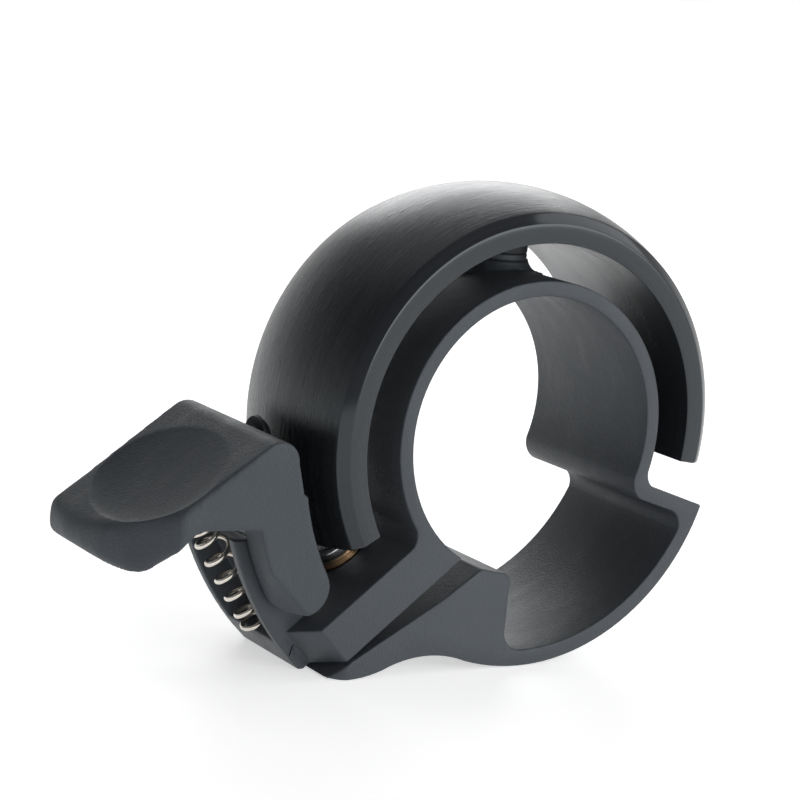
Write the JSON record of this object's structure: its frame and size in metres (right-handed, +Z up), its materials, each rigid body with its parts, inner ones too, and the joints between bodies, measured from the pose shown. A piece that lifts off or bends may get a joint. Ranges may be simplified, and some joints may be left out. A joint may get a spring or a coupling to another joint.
{
  "type": "bicycle bell",
  "caption": "Handlebar bell: an open sounding ring carried round a split clamp band, struck by a sprung thumb lever, with a cable guide under the clamp.",
  "frame": {"origin": "on the axis of the handlebar bore, at the middle of the bell's width", "axes": "+Y along the handlebar bore, away from the side the bell shows; +Z up when the bell stands on its two feet; the thumb tab points towards -X"},
  "size_m": [0.0763, 0.022, 0.054],
  "materials": {
    "nylon_black": "fine spark-eroded matte moulding",
    "nylon_lever": "fine spark-eroded matte moulding, slightly greyer than the clamp",
    "anodised_black": "black anodised, brushed round the crown, smooth on the front face and inside",
    "rubber_dark": "smooth dark rubber",
    "striker_black": "smooth hard plastic, slightly glossy",
    "spring_steel": "bright nickel-plated spring wire with a warm tint",
    "steel_plated": "bright zinc or nickel plate",
    "steel_bright": "ground stainless steel",
    "brass": "copper-toned brass, lightly dulled"
  },
  "bodies": {
    "frame": {"clamp_base": "nylon_black", "sounding_ring": "anodised_black", "ring_bush": "rubber_dark", "ring_screw": "steel_bright", "pivot_pin": "steel_bright", "return_spring": "spring_steel", "clamp_washer": "brass", "clamp_nut": "steel_plated"},
    "lever": {"thumb_lever": "nylon_lever", "striker": "striker_black"},
    "screw": {"clamp_screw": "steel_plated"}
  },
  "joints": [
    {"name": "lever_hinge", "type": "hinge", "parent": "frame", "child": "lever", "pos_m": [-0.0272, 0, -0.016], "axis": [0, 1, 0], "range_deg": [-15, 3], "stiffness_Nm_per_rad": 0.03, "deforming": ["return_spring"]},
    {"name": "clamp_screw_turn", "type": "hinge", "parent": "frame", "child": "screw", "pos_m": [-0.01787, 0, -0.01496], "axis": [-0.6252, 0, 0.7804], "continuous": true}
  ]
}
